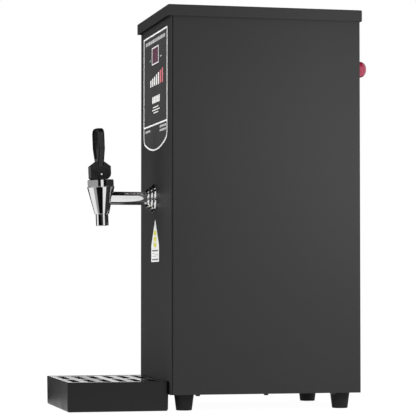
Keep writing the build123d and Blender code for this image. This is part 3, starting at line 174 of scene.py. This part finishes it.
studio_sheet("table", paper, 12.0, 12.0, (0.0, 0.0, -0.0002), (0.0, 0.0, 1.0))
cards = (
    studio_sheet("card_above", black_card, 3.0, 3.0, (0.4, -0.2, 2.2), (0.0, 0.0, -1.0)),
    studio_sheet("card_behind", black_card, 6.0, 2.8, (-1.60, 0.0, 1.70), (1.0, 0.0, 0.0)),
    studio_sheet("card_beyond", black_card, 2.4, 0.3, (-1.60, -1.45, 0.15), (1.0, 0.0, 0.0)),
    studio_sheet("card_under", black_card, 1.4, 3.0, (-0.87, -0.30, 0.0005), (0.0, 0.0, 1.0)),
    card_round_tap("cone_black", black_card, -50.0, 8.0, (0.42, 0.001), (1.05, 0.001)),
    card_round_tap("cone_grey", grey_card, -78.0, -50.0, (0.42, 0.001), (1.05, 0.001)),
    card_round_tap("cone_white", white_card, -158.0, -78.0, (0.42, 0.002), (2.40, 0.002)),
    card_round_tap("bonnet_grey", grey_card, -165.0, -33.0, (0.60, 0.325), (0.60, 0.430)),
    card_round_tap("bonnet_dark", black_card, -33.0, -8.0, (0.60, 0.335), (0.60, 0.430)),
    card_round_tap("bonnet_black", black_card, 14.0, 46.0, (0.60, 0.355), (0.60, 0.420)),
    card_round_tap("nozzle_black", black_card, -82.0, -14.0, (0.60, 0.220), (0.60, 0.320)),
    card_round_tap("nozzle_dark", dark_card, -14.0, 8.0, (0.60, 0.220), (0.60, 0.345)),
)
for card in cards:
    card.visible_camera = False
    card.visible_diffuse = False
    card.visible_shadow = False
    card.visible_transmission = False


def softbox(name, place, aim, size, watts):
    """A square lamp that faces the aim point and isn't itself seen in gloss."""
    lamp = bpy.data.lights.new(name, "AREA")
    lamp.shape = "RECTANGLE"
    lamp.size, lamp.size_y, lamp.energy = size, size, watts
    box = bpy.data.objects.new(name, lamp)
    bpy.context.collection.objects.link(box)
    box.location = place
    box.rotation_mode = "QUATERNION"
    box.rotation_quaternion = (Vector(aim) - Vector(place)).to_track_quat("-Z", "Y")
    box.visible_camera = False
    box.visible_glossy = False


softbox("side_softbox", (0.58, 0.30, 0.42), (0.12, 0.12, 0.36), size=0.30, watts=4.0)
softbox("front_softbox", (-0.5, -2.6, 1.1), (0.0, -0.1, 0.35), size=2.4, watts=76.0)
softbox("top_softbox", (0.2, 0.4, 2.4), (0.0, 0.0, 0.5), size=1.6, watts=12.0)

# ---------------------------------------------------------------------- folded casing
# Front, rear and side panels and the base pan of thin sheet steel, folded, screwed
# together from below and powder coated black with a fine satin grain.
noise_low, noise_high = 0.3, 0.7        # most of a noise's values lie between these


def grained_finish(name, colour, drift, roughness, gloss_drift, patch, grain, depth,
                   metallic=0.0, specular=0.5, stretch=(1.0, 1.0, 1.0)):
    """A finish that drifts in colour and gloss from patch to patch, with a raised grain.

    patch and grain are the sizes of those features and depth is the grain's height, in
    metres; stretch scales them along X, Y and Z, under 1 for longer.
    """
    material = bpy.data.materials.new(name)
    material.use_nodes = True
    tree = material.node_tree
    surface = tree.nodes["Principled BSDF"]
    surface.inputs["Metallic"].default_value = metallic
    surface.inputs["Specular IOR Level"].default_value = specular
    coords = tree.nodes.new("ShaderNodeTexCoord")
    along = tree.nodes.new("ShaderNodeMapping")
    along.inputs["Scale"].default_value = stretch
    patches = tree.nodes.new("ShaderNodeTexNoise")
    patches.inputs["Scale"].default_value = 1.0 / patch
    patches.inputs["Detail"].default_value = 4.0
    grains = tree.nodes.new("ShaderNodeTexNoise")
    grains.inputs["Scale"].default_value = 1.0 / grain
    grains.inputs["Detail"].default_value = 2.0
    shades = tree.nodes.new("ShaderNodeValToRGB")
    for stop, position, share in zip(shades.color_ramp.elements, (noise_low, noise_high),
                                     (1.0 - drift, 1.0 + drift)):
        stop.position = position
        stop.color = (*(min(share * c, 1.0) for c in colour), 1.0)
    gloss = tree.nodes.new("ShaderNodeMapRange")
    gloss.inputs["From Min"].default_value = noise_low
    gloss.inputs["From Max"].default_value = noise_high
    gloss.inputs["To Min"].default_value = roughness - gloss_drift
    gloss.inputs["To Max"].default_value = roughness + gloss_drift
    raised = tree.nodes.new("ShaderNodeBump")
    raised.inputs["Distance"].default_value = depth
    tree.links.new(coords.outputs["Object"], along.inputs["Vector"])
    tree.links.new(along.outputs[0], patches.inputs["Vector"])
    tree.links.new(along.outputs[0], grains.inputs["Vector"])
    tree.links.new(patches.outputs[0], shades.inputs["Fac"])
    tree.links.new(shades.outputs[0], surface.inputs["Base Color"])
    tree.links.new(patches.outputs[0], gloss.inputs["Value"])
    tree.links.new(gloss.outputs[0], surface.inputs["Roughness"])
    tree.links.new(grains.outputs[0], raised.inputs["Height"])
    tree.links.new(raised.outputs[0], surface.inputs["Normal"])
    return material


def give_finish(material, *names):
    """Put one finish on every material slot of these solids."""
    for name in names:
        for slot in nodes[name].material_slots:
            slot.material = material


powder_coat = grained_finish("powder_coat", (0.0235, 0.0235, 0.024), 0.06, 0.52, 0.04,
                             patch=0.18, grain=0.0012, depth=0.00004, specular=0.2)
give_finish(powder_coat, "front_panel", "side_panel_left", "side_panel_right",
            "rear_panel", "base_plate")

# --------------------------------------------------------------------------------- lid
# A pan of the same sheet steel in the same powder coat, with a rim folded down on all four
# sides. It drops over the casing and lifts off by hand.
give_finish(powder_coat, "lid")

# ---------------------------------------------------------------- screws, studs, feet
# Blackened steel screws hold the casing together from below. Zinc-plated studs and nuts
# hold the moulded rubber feet, and brackets, clamps and shelf have the same plating.
zinc_plate = grained_finish("zinc_plate", (0.55, 0.56, 0.57), 0.10, 0.34, 0.08,
                            patch=0.012, grain=0.0008, depth=0.00001, metallic=1.0)
give_finish(zinc_plate, "foot_studs", "foot_nuts", "tank_screws",
            "tank_brackets", "hose_clamps", "electronics_shelf")
black_steel = grained_finish("black_steel", (0.030, 0.030, 0.031), 0.10, 0.38, 0.06,
                             patch=0.006, grain=0.0005, depth=0.00001, metallic=0.6)
give_finish(black_steel, "casing_screws")
foot_rubber = grained_finish("foot_rubber", (0.013, 0.013, 0.013), 0.15, 0.72, 0.08,
                             patch=0.02, grain=0.0006, depth=0.00005, specular=0.2)
give_finish(foot_rubber, "feet")

# ------------------------------------------------------------- control panel and print
# A matt film with straight sides and a bowed lower edge, screen printed in white: a
# frame, a rule, rows of plain blocks and a scale of rising bars with two red ones.
# Print is placed in metres from the middle, across, and down from the film's top edge.
film = grained_finish("overlay_film", (0.042, 0.042, 0.0425), 0.05, 0.50, 0.05,
                      patch=0.05, grain=0.0005, depth=0.00003, specular=0.2)
give_finish(film, "control_overlay")
film_low, film_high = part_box("control_overlay")
film_top = film_high.z
ink_t = 0.00008         # the ink's thickness
ink_proud = 0.00006     # how far it stands out from what it is printed on
ink_y = film_low.y - ink_proud
frame_in = 0.0004       # the frame's outer edge inside the film's
line_w, side_line_w = 0.0026, 0.0044
bow = 0.0163            # the lower edge's sag below the straight sides
bow_corner = 0.0098     # rounding where the bow meets a side
rule_down = 0.1468      # the rule below the film's top edge
surround_in = 0.0025    # the surround's outer edge inside the window's
surround_w, surround_side_w = 0.0016, 0.0032
mark_x, mark_w, mark_h, mark_corner = 0.0465, 0.0050, 0.0012, 0.0003
block_count, block_x, block_down, block_pitch = 5, -0.0180, 0.1069, 0.0122
block_w, block_h, block_corner = 0.0096, 0.0108, 0.0012
caption_h, caption_corner = 0.0016, 0.0004
bar_x, bar_foot_down, bar_pitch = -0.0340, 0.0844, 0.0150
bar_w, bar_corner = 0.0085, 0.0016
shortest_bar, bar_rise = 0.0110, 0.0020
white_bars, red_bars = 5, 2
title_x, title_down, title_gap = -0.0750, 0.0118, 0.0029
title_h, title_corner = 0.0056, 0.0008
title_widths = (0.009, 0.006, 0.011, 0.005, 0.008, 0.012, 0.006,
                0.009, 0.005, 0.010, 0.007, 0.011, 0.006, 0.008)
note_words, word_gap, word_h, word_corner = 4, 0.0016, 0.0034, 0.0006


def flat_patch(bm, x, z, width, height, corner, y):
    """A flat patch facing the front, with its four corners rounded."""
    face_front = Matrix.Rotation(radians(90), 4, "X")
    made = bmesh.ops.create_grid(
        bm, x_segments=1, y_segments=1, size=0.5,
        matrix=Matrix.Translation((x, y, z)) @ face_front @ Matrix.Diagonal((width, height, 1, 1)))
    if corner:
        bmesh.ops.bevel(bm, geom=made["verts"], offset=corner, segments=3, profile=0.5,
                        affect="VERTICES", material=-1)


def flat_ring(bm, outline, thickness, side_thickness, rounded=(), corner=0.0):
    """Turn a closed outline of edges, centred on X, into a flat ring that faces the front.

    Its sides may be wider than its top and foot, and the vertices in rounded are rounded.
    """
    made = bmesh.ops.contextual_create(bm, geom=outline)
    face = made["faces"][0]
    if face.normal.y > 0:
        face.normal_flip()
    if rounded:
        bmesh.ops.bevel(bm, geom=rounded, offset=corner, segments=5, profile=0.5,
                        affect="VERTICES", material=-1)
        face = bm.faces[:][0]
    bmesh.ops.inset_region(bm, faces=[face], thickness=thickness, use_even_offset=True,
                           use_boundary=True)
    inner_half = max(vert.co.x for vert in face.verts)
    for vert in face.verts:
        vert.co.x *= (inner_half + thickness - side_thickness) / inner_half
    bmesh.ops.delete(bm, geom=[face], context="FACES_ONLY")


def rising_bars(bm, steps):
    """Bars of the heat scale, each a little taller than the one to its left."""
    for step in steps:
        height = shortest_bar + bar_rise * step
        flat_patch(bm, bar_x + bar_pitch * step, film_top - bar_foot_down + height / 2,
                   bar_w, height, bar_corner, ink_y)


def thin_piece(name, bm, material, thickness):
    """Close flat faces into a thin piece that grows backwards from its front face."""
    piece = new_object(name, bm, material)
    wall = piece.modifiers.new("thickness", "SOLIDIFY")
    wall.thickness = thickness
    wall.offset = -1.0
    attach(piece, "urn")
    return piece


white_ink = grained_finish("white_ink", (0.78, 0.78, 0.77), 0.04, 0.45, 0.06,
                           patch=0.01, grain=0.0004, depth=0.00001)
grey_ink = grained_finish("grey_ink", (0.46, 0.46, 0.46), 0.08, 0.45, 0.06,
                          patch=0.01, grain=0.0004, depth=0.00001)
red_ink = grained_finish("red_ink", (0.62, 0.17, 0.20), 0.06, 0.45, 0.06,
                         patch=0.01, grain=0.0004, depth=0.00001)
teal_ink = grained_finish("teal_ink", (0.10, 0.30, 0.28), 0.06, 0.45, 0.06,
                          patch=0.01, grain=0.0004, depth=0.00001)

# frame, rule and window surround
bm = bmesh.new()
half_w = film_high.x - frame_in
frame_low, frame_high = film_low.z + frame_in, film_high.z - frame_in
side_low = frame_low + bow
bow_r = (half_w ** 2 + bow ** 2) / (2 * bow)
bow_angle = asin(half_w / bow_r)
start = bm.verts.new((half_w, ink_y, side_low))
swept = bmesh.ops.spin(bm, geom=[start], cent=(0.0, ink_y, frame_low + bow_r),
                       axis=(0.0, 1.0, 0.0), angle=2 * bow_angle, steps=12)
end = [v for v in swept["geom_last"] if isinstance(v, bmesh.types.BMVert)][0]
corner_left = bm.verts.new((-half_w, ink_y, frame_high))
corner_right = bm.verts.new((half_w, ink_y, frame_high))
for a, b in ((end, corner_left), (corner_left, corner_right), (corner_right, start)):
    bm.edges.new((a, b))
flat_ring(bm, list(bm.verts) + list(bm.edges), line_w, side_line_w, [start, end], bow_corner)
flat_patch(bm, 0.0, film_top - rule_down, 2 * (half_w - side_line_w), line_w, 0.0, ink_y)
window_low, window_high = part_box("display_window")
window_z = (window_low.z + window_high.z) / 2
lamp_low, lamp_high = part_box("indicator_leds")
lamp_z = (lamp_low.z + lamp_high.z) / 2
outer_w = window_high.x - window_low.x - 2 * surround_in
outer_h = window_high.z - window_low.z - 2 * surround_in
corners = [bm.verts.new((side * outer_w / 2, ink_y, window_z + end * outer_h / 2))
           for side, end in ((-1, -1), (1, -1), (1, 1), (-1, 1))]
edges = [bm.edges.new((a, b)) for a, b in zip(corners, corners[1:] + corners[:1])]
flat_ring(bm, corners + edges, surround_w, surround_side_w)
# block row, its three lines and the mark beside the right lamp
for column in range(block_count):
    flat_patch(bm, block_x + block_pitch * column, film_top - block_down, block_w, block_h,
               block_corner, ink_y)
for x, down, width in ((0.004, 0.1189, 0.042), (0.006, 0.1234, 0.058), (0.006, 0.1277, 0.036)):
    flat_patch(bm, x, film_top - down, width, caption_h, caption_corner, ink_y)
flat_patch(bm, mark_x, lamp_z, mark_w, mark_h, mark_corner, ink_y)
rising_bars(bm, range(white_bars))
thin_piece("panel_print_white", bm, white_ink, ink_t)

# the last two bars, and the mark beside the left lamp
bm = bmesh.new()
rising_bars(bm, range(white_bars, white_bars + red_bars))
thin_piece("panel_print_red", bm, red_ink, ink_t)
bm = bmesh.new()
flat_patch(bm, -mark_x, lamp_z, mark_w, mark_h, mark_corner, ink_y)
thin_piece("panel_print_teal", bm, teal_ink, ink_t)

# title row along the top, and rows of four blocks below the rule
bm = bmesh.new()
x = title_x
for width in title_widths:
    flat_patch(bm, x + width / 2, film_top - title_down, width, title_h, title_corner, ink_y)
    x += width + title_gap
for x, down, width in ((-0.0590, 0.1545, 0.040), (0.0600, 0.1530, 0.050),
                       (0.0600, 0.1592, 0.050)):
    word_pitch = width / note_words
    for word in range(note_words):
        flat_patch(bm, x - width / 2 + (word + 0.5) * word_pitch, film_top - down,
                   word_pitch - word_gap, word_h, word_corner, ink_y)
thin_piece("panel_print_grey", bm, grey_ink, ink_t)

# ---------------------------------------------------------- window, display and lamps
# A dark red acrylic window over a three-digit display that is switched off, and two
# clear lamp lenses that stand flush with the film.
window_tint = grained_finish("window_tint", (0.20, 0.095, 0.135), 0.05, 0.12, 0.03,
                             patch=0.02, grain=0.002, depth=0.000002)
window_tint.node_tree.nodes["Principled BSDF"].inputs["Transmission Weight"].default_value = 0.35
give_finish(window_tint, "display_window")
display_face = grained_finish("display_face", (0.10, 0.016, 0.030), 0.10, 0.35, 0.05,
                              patch=0.01, grain=0.0008, depth=0.00001)
give_finish(display_face, "display_module")
lamp_lens = grained_finish("lamp_lens", (0.55, 0.72, 0.70), 0.05, 0.18, 0.04,
                           patch=0.002, grain=0.0006, depth=0.00001)
give_finish(lamp_lens, "indicator_leds")
unlit_segment = grained_finish("unlit_segment", (0.34, 0.10, 0.12), 0.08, 0.40, 0.05,
                               patch=0.004, grain=0.0006, depth=0.00001)
module_low, module_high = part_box("display_module")
digit_z = (module_low.z + module_high.z) / 2
digit_w, digit_h, digit_pitch = 0.0068, 0.0124, 0.0130
segment_w, segment_corner = 0.0013, 0.0005
segment_y = module_low.y - ink_proud
bm = bmesh.new()
for digit in (-1, 0, 1):
    for row in (-1, 0, 1):
        flat_patch(bm, digit * digit_pitch, digit_z + row * digit_h / 2, digit_w - segment_w,
                   segment_w, segment_corner, segment_y)
    for side in (-1, 1):
        for row in (-1, 1):
            flat_patch(bm, digit * digit_pitch + side * digit_w / 2, digit_z + row * digit_h / 4,
                       segment_w, digit_h / 2 - segment_w, segment_corner, segment_y)
thin_piece("display_segments", bm, unlit_segment, ink_t)

# -------------------------------------------------------------------------- care label
# A white sticker under the tap, pointed at the top, printed with a column of plain yellow
# blocks over a few grey bars.
label_film = grained_finish("label_film", (0.80, 0.80, 0.79), 0.04, 0.40, 0.06,
                            patch=0.02, grain=0.0005, depth=0.00001)
give_finish(label_film, "care_label")
yellow_ink = grained_finish("yellow_ink", (0.68, 0.64, 0.09), 0.06, 0.42, 0.06,
                            patch=0.012, grain=0.0004, depth=0.00001)
label_grey_ink = grained_finish("label_grey_ink", (0.17, 0.16, 0.17), 0.08, 0.45, 0.06,
                                patch=0.01, grain=0.0004, depth=0.00001)
label_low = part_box("care_label")[0]
label_ink_y = label_low.y - ink_proud
label_foot = label_low.z
patch_count, patch_w, patch_h, patch_corner = 3, 0.0200, 0.0072, 0.0024
lowest_patch_up, patch_pitch = 0.0270, 0.0095
label_line_corner = 0.0002
bm = bmesh.new()
for row in range(patch_count):
    flat_patch(bm, 0.0, label_foot + lowest_patch_up + row * patch_pitch, patch_w, patch_h,
               patch_corner, label_ink_y)
thin_piece("label_print_yellow", bm, yellow_ink, ink_t)
bm = bmesh.new()
for x, up, width, height in ((0.0, 0.0179, 0.046, 0.0024), (0.0, 0.0038, 0.046, 0.0026),
                             (-0.012, 0.0135, 0.022, 0.0006), (0.008, 0.0112, 0.030, 0.0006),
                             (-0.008, 0.0088, 0.030, 0.0006)):
    flat_patch(bm, x, label_foot + up, width, height, label_line_corner, label_ink_y)
thin_piece("label_print_grey", bm, label_grey_ink, ink_t)

# ------------------------------------------------------------------ boiler and pipework
# A drawn stainless tank with welded stubs, wrapped in felted foam, joined by silicone
# hose and bent stainless tube.
drawn_steel = grained_finish("drawn_steel", (0.60, 0.60, 0.61), 0.05, 0.26, 0.07,
                             patch=0.02, grain=0.0006, depth=0.000008, metallic=1.0,
                             stretch=(1.0, 1.0, 0.08))
give_finish(drawn_steel, "tank", "tank_lid", "overflow_pipe", "drain_pipe",
            "heating_elements", "level_probes", "valve_plunger", "button_spring", "tap_spring",
            "tap_stem")
felt = grained_finish("felt", (0.62, 0.58, 0.50), 0.12, 0.95, 0.04,
                      patch=0.02, grain=0.0016, depth=0.0004)
give_finish(felt, "tank_insulation")
silicone = grained_finish("silicone", (0.72, 0.72, 0.70), 0.05, 0.55, 0.05,
                          patch=0.015, grain=0.0008, depth=0.00002)
give_finish(silicone, "tank_seal", "silicone_hoses", "seat_cup", "tap_seal")
turned_brass = grained_finish("turned_brass", (0.72, 0.52, 0.22), 0.08, 0.28, 0.06,
                              patch=0.01, grain=0.0005, depth=0.00001, metallic=1.0)
give_finish(turned_brass, "element_nuts", "thermometer", "board_standoffs", "tap_lock_nut")

# ---------------------------------------------------- valve, gland and electrical parts
# Moulded plastics for the inlet valve, its coil, the gland, the drain's cap and the relay
# and terminal blocks, and green lacquer on the two boards.
black_moulding = grained_finish("black_moulding", (0.022, 0.022, 0.023), 0.10, 0.46, 0.07,
                                patch=0.012, grain=0.0007, depth=0.00003)
give_finish(black_moulding, "valve_coil", "drain_cap", "thermal_cutout", "board_components",
            "cable_gland", "panel_nuts", "button_housing", "button_switch")
white_moulding = grained_finish("white_moulding", (0.74, 0.74, 0.72), 0.05, 0.42, 0.06,
                                patch=0.015, grain=0.0007, depth=0.00003)
give_finish(white_moulding, "inlet_valve", "probe_bushings")
grey_moulding = grained_finish("grey_moulding", (0.30, 0.31, 0.32), 0.06, 0.45, 0.06,
                               patch=0.02, grain=0.0007, depth=0.00003)
give_finish(grey_moulding, "contactor", "terminal_block")
board_lacquer = grained_finish("board_lacquer", (0.02, 0.14, 0.05), 0.14, 0.38, 0.08,
                               patch=0.006, grain=0.0008, depth=0.00003)
give_finish(board_lacquer, "control_board", "display_board")

# ------------------------------------------------------------------------ power button
# A domed cap of glossy red plastic near the rear panel's top corner. It slides in a black
# moulded housing, which a nut holds from inside the panel.
button_red = grained_finish("button_red", (0.22, 0.008, 0.034), 0.08, 0.16, 0.04,
                            patch=0.008, grain=0.0010, depth=0.000006)
button_red.node_tree.nodes["Principled BSDF"].inputs["Coat Weight"].default_value = 0.6
give_finish(button_red, "power_button")

# --------------------------------------------------------------------------------- tap
# Cast, turned and chrome-plated brass: cone, nozzle and shank in one, a screwed bonnet
# and a stepped collar against the casing.
chrome = grained_finish("chrome", (0.74, 0.74, 0.75), 0.02, 0.055, 0.015,
                        patch=0.02, grain=0.003, depth=0.000004, metallic=1.0)
give_finish(chrome, "tap_body", "tap_bonnet", "tap_escutcheon")
pin_steel = grained_finish("pin_steel", (0.80, 0.80, 0.80), 0.05, 0.55, 0.05,
                           patch=0.004, grain=0.0003, depth=0.000004, metallic=0.3)
give_finish(pin_steel, "lever_pin")

# ------------------------------------------------------------------------------- lever
# Glossy black phenolic, moulded in one piece with a dished recess in its front. It tips on
# a steel pin above the bonnet.
lever_black = grained_finish("lever_black", (0.009, 0.009, 0.009), 0.12, 0.17, 0.04,
                             patch=0.01, grain=0.0012, depth=0.000008, specular=0.35)
give_finish(lever_black, "lever")

# --------------------------------------------------------------------- tray and grille
# A moulded black tray that stands loose on the table, and a polished stainless grille with
# punched slots that lies in its rim.
tray_black = grained_finish("tray_black", (0.0045, 0.0045, 0.0045), 0.08, 0.42, 0.05,
                            patch=0.05, grain=0.0008, depth=0.00002, specular=0.3)
give_finish(tray_black, "drip_tray")
grille_steel = grained_finish("grille_steel", (0.66, 0.66, 0.66), 0.04, 0.20, 0.05,
                              patch=0.03, grain=0.0005, depth=0.000006, metallic=1.0,
                              stretch=(0.05, 1.0, 1.0))
give_finish(grille_steel, "drip_grille")

# ---------------------------------------------------------------------- return springs
# Coils of stainless wire, one in the tap and one behind the button's cap. In the urn each
# shortens against its fixed end as the lever or the button is worked; here each is only given
# a mesh of its own. The fixed end is the one along the coil's axis (1) or against it (-1).
tap_up, rear = (0.0, -0.0436, 0.9990), (0.0, 1.0, 0.0)
stem_travel, button_travel = 0.0063, 0.0030
for spring, joint, axis, travel, fixed_end in (
        ("tap_spring", "lever_tilt", tap_up, stem_travel, 1),
        ("button_spring", "power_press", rear, button_travel, -1)):
    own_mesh(nodes[spring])
